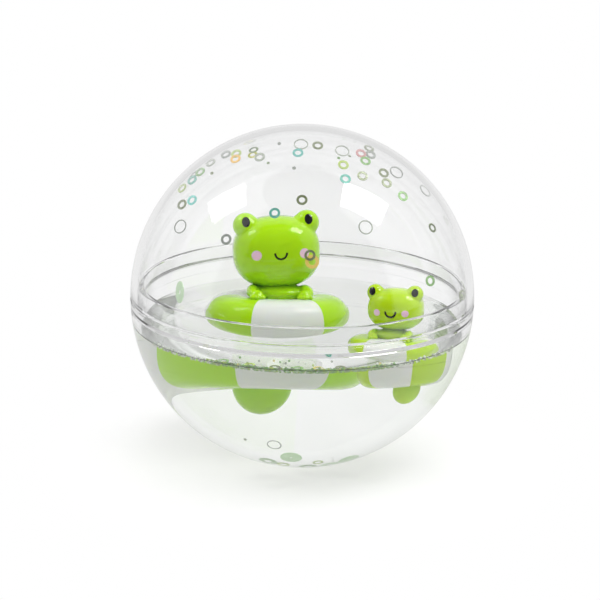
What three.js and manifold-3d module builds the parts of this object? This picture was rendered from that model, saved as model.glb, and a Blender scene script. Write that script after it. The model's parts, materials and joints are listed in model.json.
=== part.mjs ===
// Floating frog bath toy: a sealed clear ball, part filled with water, that holds two weighted
// frogs in swim rings and loose film rings. Millimetres, +Z up, origin under the base flat.
import * as THREE from 'three';
import { mergeVertices } from 'three/addons/utils/BufferGeometryUtils.js';
import Module from 'manifold-3d';

const wasm = await Module();
wasm.setup();

// Ball: two clear half shells that lap at the equator
const ballRadius = 50;
const shellWall = 2;
const seamGap = 0.3;
const fitClearance = 0.3;
const tongueRise = 4.5;
const tongueDrop = 3.3;
const tongueWall = 1.4;
const tongueChamfer = 0.5;
const rimStepDepth = 0.3;
const rimStepHeight = 0.8;

// Base: a flat under the bowl with the filling plug recessed in it
const baseFlatRadius = 10;
const floorThickness = 2.6;
const plugHeadRadius = 6;
const plugHeadThickness = 1;
const plugStemRadius = 4;
const plugRecess = 0.3;

// Water surface, measured down from the ball's centre
const waterDrop = 8;

// Float places: the small one near the wall, the big one beside it across the ball
const smallFloatBearing = -33;
const smallFloatWallGap = 3.2;
const floatGap = 11.6;
const bigFromSmallBearing = 136.5;

// Frog floats, each measured from the middle of its swim ring, facing -Y
const bigFrog = {
  name: 'big',
  ringMajor: 12.8,
  ringHalfWidth: 8.9,
  ringHalfHeight: 9.4,
  ringWall: 1.2,
  ringDraught: 5.7,
  leanBack: 9,
  facing: 10.5,
  cupRadius: 5.9,
  cupHang: 8.2,
  ballastRadius: 4,
  plugBelow: 3.5,
  chestRadius: 9,
  chestHeight: 13.6,
  neckRadius: 4,
  neckLength: 5,
  headHalfWidth: 13.05,
  headHalfDepth: 11.3,
  headHalfHeight: 10.8,
  headWall: 1.6,
  chinGap: 2.2,
  eyeRadius: 3.8,
  eyeAngle: 42,
  eyeForward: 10,
  handRadius: 1.9,
  handSpread: 7,
  handReach: 10.4,
};
const smallFrog = {
  name: 'small',
  ringMajor: 7.4,
  ringHalfWidth: 5.6,
  ringHalfHeight: 5.6,
  ringWall: 1,
  ringDraught: 4,
  leanBack: 8,
  facing: -16,
  cupRadius: 3.8,
  cupHang: 6.4,
  ballastRadius: 2.4,
  plugBelow: 3,
  chestRadius: 5.6,
  chestHeight: 8.2,
  neckRadius: 2.6,
  neckLength: 3,
  headHalfWidth: 7.9,
  headHalfDepth: 6.9,
  headHalfHeight: 5.9,
  headWall: 1.2,
  chinGap: 1.8,
  eyeRadius: 2.4,
  eyeAngle: 43,
  eyeForward: 10,
  handRadius: 1.2,
  handSpread: 4.4,
  handReach: 6.3,
};
const headSquareness = 2.4;

// Shares of the ring's half height: how far down the well's middle and the neck's foot reach
const wellFootShare = 0.6;
const neckFootShare = 0.5;

// Shares of the hand's radius
const handLiftShare = 0.8;
const fingerShare = 0.55;
const fingerFanShare = 0.75;
const fingerReachShare = 0.9;
const fingerCurlShare = 0.3;
const armShare = 0.85;
const armLiftShare = 0.2;
const shoulderShare = 1.25;

// Shares of the hand's reach and spread
const armLengthShare = 0.5;
const armMiddleShare = 0.55;
const armSpreadShare = 1.08;
const shoulderPlaceShare = 0.25;

// The chest's flank starts this many degrees below its middle
const chestFlank = -60;

// Film rings: punched from thin film in two sizes
const smallFilm = { outer: 1.5, inner: 0.85, name: 'film_ring' };
const largeFilm = { outer: 2, inner: 1.7, name: 'bubble_ring' };
const filmThickness = 0.3;
const filmWallInset = 0.65;

// The photograph's view of the ball: degrees, millimetres, then pixels
const view = { elevation: 16, roll: 1.2, distance: 700, ballX: 302.3, ballY: 295.7, ballPixels: 172 };
const plasticIndex = 1.5;

// Each film ring that clings to the dome, by the pixel where the photograph shows it
const domeFilms = [
  [largeFilm, 301, 145],
  [largeFilm, 365, 228],
  [largeFilm, 181, 227],
  [largeFilm, 425, 191],
  [largeFilm, 396, 173],
  [smallFilm, 298, 154],
  [smallFilm, 345, 180],
  [smallFilm, 193, 181],
  [smallFilm, 193, 201],
  [smallFilm, 275, 214],
  [smallFilm, 343, 166],
  [smallFilm, 362, 177],
  [smallFilm, 365, 162],
  [smallFilm, 386, 184],
  [smallFilm, 402, 197],
  [smallFilm, 302, 201],
  [smallFilm, 201, 173],
  [smallFilm, 183, 189],
  [smallFilm, 236, 160],
  [smallFilm, 312, 262],
  [smallFilm, 429, 281],
  [smallFilm, 227, 240],
];

// Bearing of each film ring afloat by the wall, in degrees
const floatingFilms = [-118, -108, -99, -91, -84, -76];
const floatingWallGap = 1;

const ballSegments = 36;
const arcSteps = 9;
const ringSegments = 24;
const ringSteps = 6;
const headSegments = 20;
const eyeSegments = 12;
const cupSegments = 16;
const chestSegments = 16;
const ballastSegments = 14;
const chestSteps = 5;
const handSegments = 8;
const fingerSegments = 6;
const filmSegments = 8;
const rowShare = 0.65;

// Derived ball sizes, in the frame of the ball's centre
const innerRadius = ballRadius - shellWall;
const baseZ = -Math.sqrt(ballRadius ** 2 - baseFlatRadius ** 2);
const floorZ = baseZ + floorThickness;
const plugSeatZ = baseZ + plugRecess + plugHeadThickness + fitClearance;
const waterZ = -waterDrop;
const waterRadius = innerRadius - fitClearance;
const wallAtWater = Math.sqrt(innerRadius ** 2 - waterDrop ** 2);

const clearPlastic = new THREE.MeshStandardMaterial({
  color: 0xf2f6f7, roughness: 0.05, metalness: 0, transparent: true, opacity: 0.2,
});
const waterClear = new THREE.MeshStandardMaterial({
  color: 0xe4f2ee, roughness: 0.02, metalness: 0, transparent: true, opacity: 0.3,
});
const frogGreen = new THREE.MeshStandardMaterial({ color: 0x86cc0a, roughness: 0.2, metalness: 0 });
const steel = new THREE.MeshStandardMaterial({ color: 0xb8bcc0, roughness: 0.3, metalness: 1 });
const film = new THREE.MeshStandardMaterial({ color: 0x9ac46a, roughness: 0.15, metalness: 0.2 });

const degrees = THREE.MathUtils.degToRad;

// A point (radius, height) for a turned profile, exact on the axis
function point(radius, height) {
  const onAxis = Math.abs(radius) < 1e-9;
  return new THREE.Vector2(onAxis ? 0 : radius, height);
}

// Points along an elliptical arc, angles in radians from the outward radius
function arc(centreRadius, centreHeight, halfWidth, halfHeight, from, to, steps) {
  const points = [];
  for (let i = 0; i <= steps; i += 1) {
    const angle = from + ((to - from) * i) / steps;
    const radius = centreRadius + halfWidth * Math.cos(angle);
    const height = centreHeight + halfHeight * Math.sin(angle);
    points.push(point(radius, height));
  }
  return points;
}

function roundArc(radius, fromHeight, toHeight, steps) {
  const from = Math.asin(fromHeight / radius);
  const to = Math.asin(toHeight / radius);
  return arc(0, 0, radius, radius, from, to, steps);
}

// Turns a profile about +Z
function turned(profile, segments) {
  const geometry = new THREE.LatheGeometry(profile, segments);
  geometry.rotateX(Math.PI / 2);
  return geometry;
}

function closedLoop(profile) {
  return [...profile, profile[0].clone()];
}

// A geometry as a solid that can be joined and cut
function solid(geometry) {
  const bare = geometry.clone();
  bare.deleteAttribute('normal');
  bare.deleteAttribute('uv');
  const merged = mergeVertices(bare, 1e-5);
  const corners = merged.index.array;
  const triangles = [];
  for (let i = 0; i < corners.length; i += 3) {
    const [a, b, c] = [corners[i], corners[i + 1], corners[i + 2]];
    if (a !== b && b !== c && c !== a) {
      triangles.push(a, b, c);
    }
  }
  return new wasm.Manifold(new wasm.Mesh({
    numProp: 3,
    vertProperties: new Float32Array(merged.attributes.position.array),
    triVerts: new Uint32Array(triangles),
  }));
}

function geometryOf(body) {
  const mesh = body.getMesh();
  const geometry = new THREE.BufferGeometry();
  geometry.setAttribute('position', new THREE.BufferAttribute(mesh.vertProperties, 3));
  geometry.setIndex(new THREE.BufferAttribute(mesh.triVerts, 1));
  geometry.computeVertexNormals();
  return geometry;
}

function ball(radius, x, y, z, segments) {
  const geometry = new THREE.SphereGeometry(radius, segments, Math.round(segments * rowShare));
  geometry.translate(x, y, z);
  return solid(geometry);
}

function post(radius, bottom, top, segments) {
  const profile = [point(0, bottom), point(radius, bottom), point(radius, top), point(0, top)];
  return solid(turned(profile, segments));
}

function named(name, geometry, material) {
  const mesh = new THREE.Mesh(geometry, material);
  mesh.name = name;
  return mesh;
}

// Shells, plug and water

function makeUpperDome() {
  const profile = [
    ...roundArc(innerRadius, innerRadius, seamGap / 2, arcSteps),
    ...roundArc(ballRadius, seamGap / 2, ballRadius, arcSteps),
  ];
  return named('upper_dome', turned(profile, ballSegments), clearPlastic);
}

function makeLowerBowl() {
  const rimZ = -seamGap / 2;
  const stepZ = rimZ - rimStepHeight;
  const tongueOuter = Math.sqrt(innerRadius ** 2 - tongueRise ** 2) - fitClearance;
  const tongueInner = tongueOuter - tongueWall;
  const headBore = plugHeadRadius + fitClearance;
  const stemBore = plugStemRadius + fitClearance;
  const profile = closedLoop([
    ...roundArc(ballRadius, baseZ, stepZ, arcSteps),
    point(ballRadius - rimStepDepth, stepZ),
    point(ballRadius - rimStepDepth, rimZ),
    point(tongueOuter, rimZ),
    point(tongueOuter, tongueRise - tongueChamfer),
    point(tongueOuter - tongueChamfer, tongueRise),
    point(tongueInner, tongueRise),
    point(tongueInner, -tongueDrop),
    ...roundArc(innerRadius, -tongueDrop, floorZ, arcSteps),
    point(stemBore, floorZ),
    point(stemBore, plugSeatZ),
    point(headBore, plugSeatZ),
    point(headBore, baseZ),
  ]);
  return named('lower_bowl', turned(profile, ballSegments), clearPlastic);
}

function makeFillPlug() {
  const headTop = plugSeatZ - fitClearance;
  const profile = [
    point(0, baseZ + plugRecess),
    point(plugHeadRadius, baseZ + plugRecess),
    point(plugHeadRadius, headTop),
    point(plugStemRadius, headTop),
    point(plugStemRadius, floorZ),
    point(0, floorZ),
  ];
  return named('fill_plug', turned(profile, ringSegments), clearPlastic);
}

// The water fills the bowl and leaves a well round each float
function makeWater(floats) {
  const bottomZ = floorZ + fitClearance;
  const profile = [
    point(0, bottomZ),
    ...roundArc(waterRadius, bottomZ, waterZ, arcSteps),
    point(0, waterZ),
  ];
  let body = solid(turned(profile, ballSegments));
  for (const { frog, group } of floats) {
    const hull = hullOf(frog, fitClearance);
    group.updateMatrixWorld(true);
    body = body.subtract(solid(geometryOf(hull).applyMatrix4(group.matrix)));
  }
  return named('water', geometryOf(body), waterClear);
}

// Frog floats

function ringSection(frog, grow) {
  const width = frog.ringHalfWidth + grow;
  const height = frog.ringHalfHeight + grow;
  return arc(frog.ringMajor, 0, width, height, 0, 2 * Math.PI, ringSteps * 2);
}

function ringSolid(frog, grow) {
  return solid(turned(ringSection(frog, grow), ringSegments));
}

// Half of the hollow ring, above (+1) or below (-1) its middle plane
function ringHalf(frog, side) {
  const halfGap = seamGap / 2;
  const innerWidth = frog.ringHalfWidth - frog.ringWall;
  const innerHeight = frog.ringHalfHeight - frog.ringWall;
  const outerStart = Math.asin(halfGap / frog.ringHalfHeight);
  const innerStart = Math.asin(halfGap / innerHeight);
  const outer = arc(frog.ringMajor, 0, frog.ringHalfWidth, frog.ringHalfHeight,
    outerStart, Math.PI - outerStart, ringSteps);
  const inner = arc(frog.ringMajor, 0, innerWidth, innerHeight,
    Math.PI - innerStart, innerStart, ringSteps);
  const section = closedLoop([...outer, ...inner]);
  if (side > 0) {
    return turned(section, ringSegments);
  }
  const mirrored = section.map((p) => point(p.x, -p.y)).reverse();
  return turned(mirrored, ringSegments);
}

// Everything of the float that is under water: ring, ballast cup and the middle they surround
function hullOf(frog, grow) {
  const foot = -frog.ringHalfHeight * wellFootShare;
  const middle = post(frog.ringMajor, foot, frog.ringHalfHeight, ringSegments);
  const cup = ball(frog.cupRadius + grow, 0, 0, -frog.cupHang, cupSegments);
  return ringSolid(frog, grow).add(middle).add(cup);
}

// Round cup under the ring, open at the top for the ballast ball
function makeBallastCup(frog) {
  const pocket = frog.ballastRadius + fitClearance;
  const cup = ball(frog.cupRadius, 0, 0, -frog.cupHang, cupSegments);
  const socket = ball(pocket, 0, 0, -frog.cupHang, cupSegments);
  const mouth = post(pocket, -frog.cupHang, frog.ringHalfHeight, cupSegments);
  return geometryOf(cup.subtract(ringSolid(frog, fitClearance)).subtract(socket).subtract(mouth));
}

function headCentre(frog) {
  return frog.ringHalfHeight + frog.chinGap + frog.headHalfHeight;
}

// Rounded-square head form: the radius along a direction follows a superellipsoid
function headForm(frog, grow, segments) {
  const geometry = new THREE.SphereGeometry(1, segments, Math.round(segments * rowShare));
  geometry.rotateX(Math.PI / 2);
  const position = geometry.attributes.position;
  const corner = new THREE.Vector3();
  for (let i = 0; i < position.count; i += 1) {
    corner.fromBufferAttribute(position, i);
    onHead(frog, grow, corner);
    position.setXYZ(i, corner.x, corner.y, corner.z);
  }
  return solid(geometry);
}

// Moves a unit direction out to the head's surface
function onHead(frog, grow, direction) {
  const sum = Math.abs(direction.x) ** headSquareness
    + Math.abs(direction.y) ** headSquareness
    + Math.abs(direction.z) ** headSquareness;
  const reach = sum ** (-1 / headSquareness);
  direction.multiplyScalar(reach);
  direction.x *= frog.headHalfWidth + grow;
  direction.y *= frog.headHalfDepth + grow;
  direction.z *= frog.headHalfHeight + grow;
  direction.z += headCentre(frog);
  return direction;
}

// Hollow head with two eye bumps and a neck socket
function makeHead(frog) {
  let head = headForm(frog, 0, headSegments);
  for (const side of [-1, 1]) {
    const tilt = degrees(frog.eyeAngle);
    const forward = degrees(frog.eyeForward);
    const place = new THREE.Vector3(
      side * Math.sin(tilt) * Math.cos(forward),
      -Math.sin(forward),
      Math.cos(tilt) * Math.cos(forward),
    );
    onHead(frog, 0, place);
    head = head.add(ball(frog.eyeRadius, place.x, place.y, place.z, eyeSegments));
  }
  const hollow = headForm(frog, -frog.headWall, eyeSegments);
  const socket = post(frog.neckRadius + fitClearance, 0, headCentre(frog), chestSegments);
  return geometryOf(head.subtract(hollow).subtract(socket));
}

function ringTopAt(frog, radius) {
  const share = (radius - frog.ringMajor) / frog.ringHalfWidth;
  return frog.ringHalfHeight * Math.sqrt(Math.max(0, 1 - share ** 2));
}

// Height of a hand that rests on the ring
function handHeight(frog) {
  const ringTop = ringTopAt(frog, Math.hypot(frog.handSpread, frog.handReach));
  return ringTop + frog.handRadius * handLiftShare;
}

// An egg-shaped limb about a middle point
function limb(halfX, halfY, halfZ, x, y, z) {
  const geometry = new THREE.SphereGeometry(1, handSegments, handSegments);
  geometry.scale(halfX, halfY, halfZ);
  geometry.translate(x, y, z);
  return solid(geometry);
}

// Arm, hand and three fingers that rest on the ring, on the left (-1) or right (+1)
function armOf(frog, side) {
  const handX = side * frog.handSpread;
  const handY = -frog.handReach;
  const handZ = handHeight(frog);
  const hand = frog.handRadius;
  let arm = ball(hand, handX, handY, handZ, handSegments);
  for (const spread of [-1, 0, 1]) {
    const fingerX = handX + spread * hand * fingerFanShare;
    const fingerY = handY - hand * (fingerReachShare - fingerCurlShare * Math.abs(spread));
    const fingerZ = handZ - hand * fingerCurlShare;
    arm = arm.add(ball(hand * fingerShare, fingerX, fingerY, fingerZ, fingerSegments));
  }
  const thick = hand * armShare;
  const fore = limb(thick, frog.handReach * armLengthShare, thick,
    handX * armSpreadShare, handY * armMiddleShare, handZ + hand * armLiftShare);
  return arm.add(fore);
}

// Shoulders: they run from arm to arm through the neck
function shouldersOf(frog) {
  const thick = frog.handRadius * shoulderShare;
  return limb(frog.handSpread * armSpreadShare, thick, thick,
    0, -frog.handReach * shoulderPlaceShare, handHeight(frog) + frog.handRadius * armLiftShare);
}

// Chest that plugs the ring, with arms on the ring and a neck that enters the head
function makeBody(frog) {
  const holeRadius = frog.ringMajor - frog.ringHalfWidth;
  const plugRadius = holeRadius - fitClearance;
  const chest = [
    point(0, -frog.plugBelow),
    point(plugRadius, -frog.plugBelow),
    point(plugRadius, 0),
    ...arc(0, frog.chestHeight / 2, frog.chestRadius, frog.chestHeight / 2,
      degrees(chestFlank), Math.PI / 2, chestSteps),
  ];
  let body = solid(turned(chest, chestSegments));
  body = body.add(armOf(frog, -1)).add(armOf(frog, 1)).add(shouldersOf(frog));
  body = body.subtract(ringSolid(frog, fitClearance));
  body = body.subtract(headForm(frog, fitClearance, headSegments));
  const neckFoot = frog.ringHalfHeight * neckFootShare;
  const neckTop = frog.ringHalfHeight + frog.chinGap + frog.neckLength;
  return geometryOf(body.add(post(frog.neckRadius, neckFoot, neckTop, chestSegments)));
}

function makeFloat(frog, x, y) {
  const group = new THREE.Group();
  group.position.set(x, y, waterZ - frog.ringDraught);
  group.rotation.set(-degrees(frog.leanBack), 0, degrees(frog.facing));
  group.updateMatrix();
  const ballastRows = Math.round(ballastSegments * rowShare);
  const ballast = new THREE.SphereGeometry(frog.ballastRadius, ballastSegments, ballastRows);
  ballast.translate(0, 0, -frog.cupHang);
  group.add(
    named(`${frog.name}_ballast_ball`, ballast, steel),
    named(`${frog.name}_ballast_cup`, makeBallastCup(frog), frogGreen),
    named(`${frog.name}_ring_lower`, ringHalf(frog, -1), frogGreen),
    named(`${frog.name}_ring_upper`, ringHalf(frog, 1), frogGreen),
    named(`${frog.name}_body`, makeBody(frog), frogGreen),
    named(`${frog.name}_head`, makeHead(frog), frogGreen),
  );
  return { frog, group };
}

function ringReach(frog) {
  return frog.ringMajor + frog.ringHalfWidth;
}

function placeFloats() {
  const out = wallAtWater - smallFloatWallGap - ringReach(smallFrog);
  const smallX = out * Math.cos(degrees(smallFloatBearing));
  const smallY = out * Math.sin(degrees(smallFloatBearing));
  const apart = ringReach(smallFrog) + floatGap + ringReach(bigFrog);
  const bigX = smallX + apart * Math.cos(degrees(bigFromSmallBearing));
  const bigY = smallY + apart * Math.sin(degrees(bigFromSmallBearing));
  return [makeFloat(bigFrog, bigX, bigY), makeFloat(smallFrog, smallX, smallY)];
}

// Film rings

function filmGeometry(size) {
  const profile = closedLoop([
    point(size.inner, 0),
    point(size.outer, 0),
    point(size.outer, filmThickness),
    point(size.inner, filmThickness),
  ]);
  return turned(profile, filmSegments);
}

// The sight line from the eye through a pixel of the photograph
function sightLine(pixelX, pixelY) {
  const elevation = degrees(view.elevation);
  const toEye = new THREE.Vector3(0, -Math.cos(elevation), Math.sin(elevation));
  const up = new THREE.Vector3(0, Math.sin(elevation), Math.cos(elevation));
  const limbDistance = Math.sqrt(view.distance ** 2 - ballRadius ** 2);
  const focal = (view.ballPixels * limbDistance) / ballRadius;
  const fromBall = new THREE.Vector2(pixelX - view.ballX, view.ballY - pixelY);
  fromBall.rotateAround(new THREE.Vector2(), degrees(view.roll));
  const aim = new THREE.Vector3(fromBall.x, 0, 0);
  aim.addScaledVector(up, fromBall.y);
  aim.addScaledVector(toEye, -focal);
  return new THREE.Ray(toEye.multiplyScalar(view.distance), aim.normalize());
}

// Where a line meets a ball about the centre, or passes nearest to it
function meetBall(line, radius) {
  const centre = new THREE.Vector3();
  const spot = new THREE.Vector3();
  const met = line.intersectSphere(new THREE.Sphere(centre, radius), spot);
  return met ?? line.closestPointToPoint(centre, spot).setLength(radius);
}

// The line that goes on from a ball's wall, bent by the change of index there
function bentLine(line, radius, ratio) {
  const spot = meetBall(line, radius);
  const outward = spot.clone().normalize();
  const square = -line.direction.dot(outward);
  const onward = Math.sqrt(Math.max(0, 1 - ratio ** 2 * (1 - square ** 2)));
  const bent = line.direction.clone().multiplyScalar(ratio);
  bent.addScaledVector(outward, ratio * square - onward);
  return new THREE.Ray(spot, bent.normalize());
}

function makeDomeFilms() {
  const up = new THREE.Vector3(0, 0, 1);
  const footRadius = innerRadius - filmWallInset - filmThickness;
  return domeFilms.map(([size, pixelX, pixelY], i) => {
    const mesh = named(`dome_${size.name}_${i + 1}`, filmGeometry(size), film);
    const inPlastic = bentLine(sightLine(pixelX, pixelY), ballRadius, 1 / plasticIndex);
    const inAir = bentLine(inPlastic, innerRadius, plasticIndex);
    mesh.position.copy(meetBall(inAir, footRadius));
    mesh.quaternion.setFromUnitVectors(up, mesh.position.clone().normalize());
    return mesh;
  });
}

function makeFloatingFilms() {
  const out = wallAtWater - floatingWallGap - smallFilm.outer;
  return floatingFilms.map((bearing, i) => {
    const mesh = named(`floating_film_ring_${i + 1}`, filmGeometry(smallFilm), film);
    const angle = degrees(bearing);
    mesh.position.set(out * Math.cos(angle), out * Math.sin(angle), waterZ + fitClearance);
    return mesh;
  });
}

const floats = placeFloats();
const toy = new THREE.Group();
toy.position.z = -baseZ;
toy.add(
  makeUpperDome(),
  makeLowerBowl(),
  makeFillPlug(),
  makeWater(floats),
  ...floats.map(({ group }) => group),
  ...makeDomeFilms(),
  ...makeFloatingFilms(),
);

export default toy;
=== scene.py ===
# Bath ball with two swimming frogs: smooth shells, water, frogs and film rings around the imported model
import json
import math
import random

import bmesh
import bpy
from mathutils import Euler, Matrix, Vector


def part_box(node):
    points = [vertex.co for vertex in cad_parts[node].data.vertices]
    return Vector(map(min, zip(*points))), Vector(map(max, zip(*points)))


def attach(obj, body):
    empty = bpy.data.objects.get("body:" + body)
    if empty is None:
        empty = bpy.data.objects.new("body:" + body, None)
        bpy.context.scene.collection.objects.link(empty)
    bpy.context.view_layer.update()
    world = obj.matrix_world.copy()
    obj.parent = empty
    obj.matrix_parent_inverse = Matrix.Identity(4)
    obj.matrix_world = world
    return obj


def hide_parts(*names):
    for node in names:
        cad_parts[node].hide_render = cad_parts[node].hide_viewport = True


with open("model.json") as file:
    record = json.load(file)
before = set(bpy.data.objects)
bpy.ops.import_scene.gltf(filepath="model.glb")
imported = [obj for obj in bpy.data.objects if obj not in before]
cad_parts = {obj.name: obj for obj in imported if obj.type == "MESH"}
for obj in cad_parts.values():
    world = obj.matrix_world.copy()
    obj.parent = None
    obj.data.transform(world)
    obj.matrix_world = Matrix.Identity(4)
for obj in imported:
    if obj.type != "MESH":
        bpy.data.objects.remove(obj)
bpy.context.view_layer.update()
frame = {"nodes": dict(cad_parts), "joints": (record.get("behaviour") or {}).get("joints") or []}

joints = {joint["name"]: joint for joint in frame["joints"]}
mm = 0.001
addToScene = bpy.context.scene.collection.objects.link
print("frame loaded:", len(frame["nodes"]), "nodes")

# ball frame: sizes below are millimetres from the ball's centre
domeLow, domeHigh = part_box("upper_dome")
ballRadius = (domeHigh.x - domeLow.x) / 2 / mm
ballCentre = Vector((0, 0, domeHigh.z - ballRadius * mm))
ballFrame = Matrix.Translation(ballCentre) @ Matrix.Scale(mm, 4)
baseZ = -ballCentre.z / mm

shell = {
    "wall": 2.0,
    "ior": 1.5,
    "seamGap": 0.08,
    "rimRound": 0.2,
    "tongueRise": 4.5,
    "tongueDrop": 3.3,
    "tongueWall": 1.4,
    "tongueFoot": (0.4, 0.6),
    "lipChamfer": 0.15,
    "lap": 0.3,
    "lowerRimStep": 0.15,
    "lowerRimHeight": 0.8,
    "rimSlope": 0.1,
    "floor": 2.6,
    "plugHead": 6.0,
    "plugStem": 4.0,
    "plugDepth": 1.6,
    "plugRecess": 0.3,
    "snug": 0.02,
    "plugAround": 64,
    "around": 144,
    "along": 44,
}
innerRadius = ballRadius - shell["wall"]
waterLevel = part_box("water")[1].z / mm + baseZ


# camera, set from the photograph's frame
view = {
    "elevation": 16.0,
    "distance": 700.0,
    "roll": 1.2,
    "imagePixels": 600,
    "ballPixel": (302.3, 295.7),
    "ballPixelRadius": 172.0,
    "sensor": 36.0,
    "clip": (0.05, 50.0),
}
viewElevation = math.radians(view["elevation"])
viewToward = Vector((0, -math.cos(viewElevation), math.sin(viewElevation)))
viewUp = Vector((0, math.sin(viewElevation), math.cos(viewElevation)))
viewRight = Vector((1, 0, 0))
focalPixels = view["ballPixelRadius"] * math.sqrt(view["distance"] ** 2 - ballRadius ** 2) / ballRadius


def makeCamera():
    data = bpy.data.cameras.new("photoCamera")
    data.sensor_width = view["sensor"]
    data.lens = focalPixels / view["imagePixels"] * view["sensor"]
    half = view["imagePixels"] / 2
    data.shift_x = (half - view["ballPixel"][0]) / view["imagePixels"]
    data.shift_y = (view["ballPixel"][1] - half) / view["imagePixels"]
    data.clip_start, data.clip_end = view["clip"]
    camera = bpy.data.objects.new("photoCamera", data)
    addToScene(camera)
    turn = Matrix((viewRight, viewUp, viewToward)).transposed().to_4x4()
    roll = Matrix.Rotation(math.radians(view["roll"]), 4, "Z")
    place = Matrix.Translation(ballCentre + viewToward * view["distance"] * mm)
    camera.matrix_world = place @ turn @ roll
    bpy.context.scene.camera = camera


def meetBall(start, ray, radius, near=True):
    along = -start.dot(ray)
    reach = radius ** 2 - (start + ray * along).length_squared
    half = math.sqrt(max(reach, 0))
    return start + ray * (along - half if near else along + half)


def bend(ray, normal, ratio):
    facing = -ray.dot(normal)
    inside = math.sqrt(max(1 - ratio ** 2 * (1 - facing ** 2), 0))
    return (ray * ratio + normal * (ratio * facing - inside)).normalized()


# the spot on the inner wall that a pixel of the photograph shows through the bent light of the shell
def wallPoint(pixel, front):
    fromBall = Vector((pixel[0] - view["ballPixel"][0], view["ballPixel"][1] - pixel[1]))
    fromBall.rotate(Matrix.Rotation(math.radians(view["roll"]), 2))
    across, rise = fromBall / focalPixels
    ray = (viewRight * across + viewUp * rise - viewToward).normalized()
    outside = meetBall(viewToward * view["distance"], ray, ballRadius)
    ray = bend(ray, outside.normalized(), 1 / shell["ior"])
    spot = meetBall(outside, ray, innerRadius)
    if not front:
        ray = bend(ray, spot.normalized(), shell["ior"])
        spot = meetBall(spot, ray, innerRadius, False)
    return spot


# node helpers
def newMaterial(name):
    material = bpy.data.materials.new(name)
    material.use_nodes = True
    tree = material.node_tree
    tree.nodes.clear()
    return material, tree


def addNode(tree, kind, **settings):
    made = tree.nodes.new(kind)
    for key, value in settings.items():
        setattr(made, key, value)
    return made


def feed(tree, socket, value):
    if isinstance(value, bpy.types.NodeSocket):
        tree.links.new(value, socket)
    else:
        socket.default_value = value


def mathNode(tree, operation, first, second=None, third=None):
    made = addNode(tree, "ShaderNodeMath", operation=operation)
    for socket, value in zip(made.inputs, (first, second, third)):
        if value is not None:
            feed(tree, socket, value)
    return made.outputs[0]


def mixNode(tree, kind, factor, first, second):
    made = addNode(tree, "ShaderNodeMix", data_type=kind)
    feed(tree, made.inputs["Factor"], factor)
    feed(tree, made.inputs["A"], first)
    feed(tree, made.inputs["B"], second)
    return made.outputs["Result"]


# the first value, or the second where the factor is 1
def pick(tree, factor, first, second):
    return mixNode(tree, "FLOAT", factor, first, second)


def mixColour(tree, factor, first, second):
    return mixNode(tree, "RGBA", factor, first, second)


def noiseNode(tree, vector, scale):
    made = addNode(tree, "ShaderNodeTexNoise")
    made.inputs["Scale"].default_value = scale
    feed(tree, made.inputs["Vector"], vector)
    return made


# 0 to 1 across a soft edge, half way where the value is 0
def softEdge(tree, value):
    made = addNode(tree, "ShaderNodeClamp")
    feed(tree, made.inputs["Value"], mathNode(tree, "ADD", value, 0.5))
    return made.outputs[0]


def showSurface(tree, shader, output="ShaderNodeOutputMaterial"):
    tree.links.new(shader.outputs[0], addNode(tree, output).inputs["Surface"])


def newGroup(name, inputs, outputs):
    group = bpy.data.node_groups.new(name, "ShaderNodeTree")
    for label, kind in inputs:
        group.interface.new_socket(label, in_out="INPUT", socket_type=kind)
    for label, kind in outputs:
        group.interface.new_socket(label, in_out="OUTPUT", socket_type=kind)
    return group, group.nodes.new("NodeGroupInput"), group.nodes.new("NodeGroupOutput")


def useGroup(tree, group, **values):
    made = addNode(tree, "ShaderNodeGroup", node_tree=group)
    for label, value in values.items():
        feed(tree, made.inputs[label], value)
    return made


# shared effects: moulded plastic is clouded a little and finely grained
mould = {
    "cloudScale": 90,
    "cloudDetail": 3,
    "deepShare": 0.5,
    "grainScale": 1400,
    "grainDepth": 0.00002,
    "glossSpread": 0.08,
}


def buildMouldSkin():
    group, source, sink = newGroup(
        "mouldSkin",
        [("Vector", "NodeSocketVector"), ("Colour", "NodeSocketColor"), ("Deep", "NodeSocketColor"),
         ("Gloss", "NodeSocketFloat"), ("Grain", "NodeSocketFloat")],
        [("Colour", "NodeSocketColor"), ("Roughness", "NodeSocketFloat"), ("Normal", "NodeSocketVector")])
    cloud = noiseNode(group, source.outputs["Vector"], mould["cloudScale"])
    cloud.inputs["Detail"].default_value = mould["cloudDetail"]
    fine = noiseNode(group, source.outputs["Vector"], mould["grainScale"])
    patch = mathNode(group, "MULTIPLY", cloud.outputs["Fac"], mould["deepShare"])
    feed(group, sink.inputs["Colour"],
         mixColour(group, patch, source.outputs["Colour"], source.outputs["Deep"]))
    grain = mathNode(group, "MULTIPLY", fine.outputs["Fac"], mould["glossSpread"])
    feed(group, sink.inputs["Roughness"], mathNode(group, "ADD", grain, source.outputs["Gloss"]))
    bump = addNode(group, "ShaderNodeBump")
    bump.inputs["Distance"].default_value = mould["grainDepth"]
    feed(group, bump.inputs["Strength"], source.outputs["Grain"])
    feed(group, bump.inputs["Height"], fine.outputs["Fac"])
    feed(group, sink.inputs["Normal"], bump.outputs["Normal"])
    return group


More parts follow.
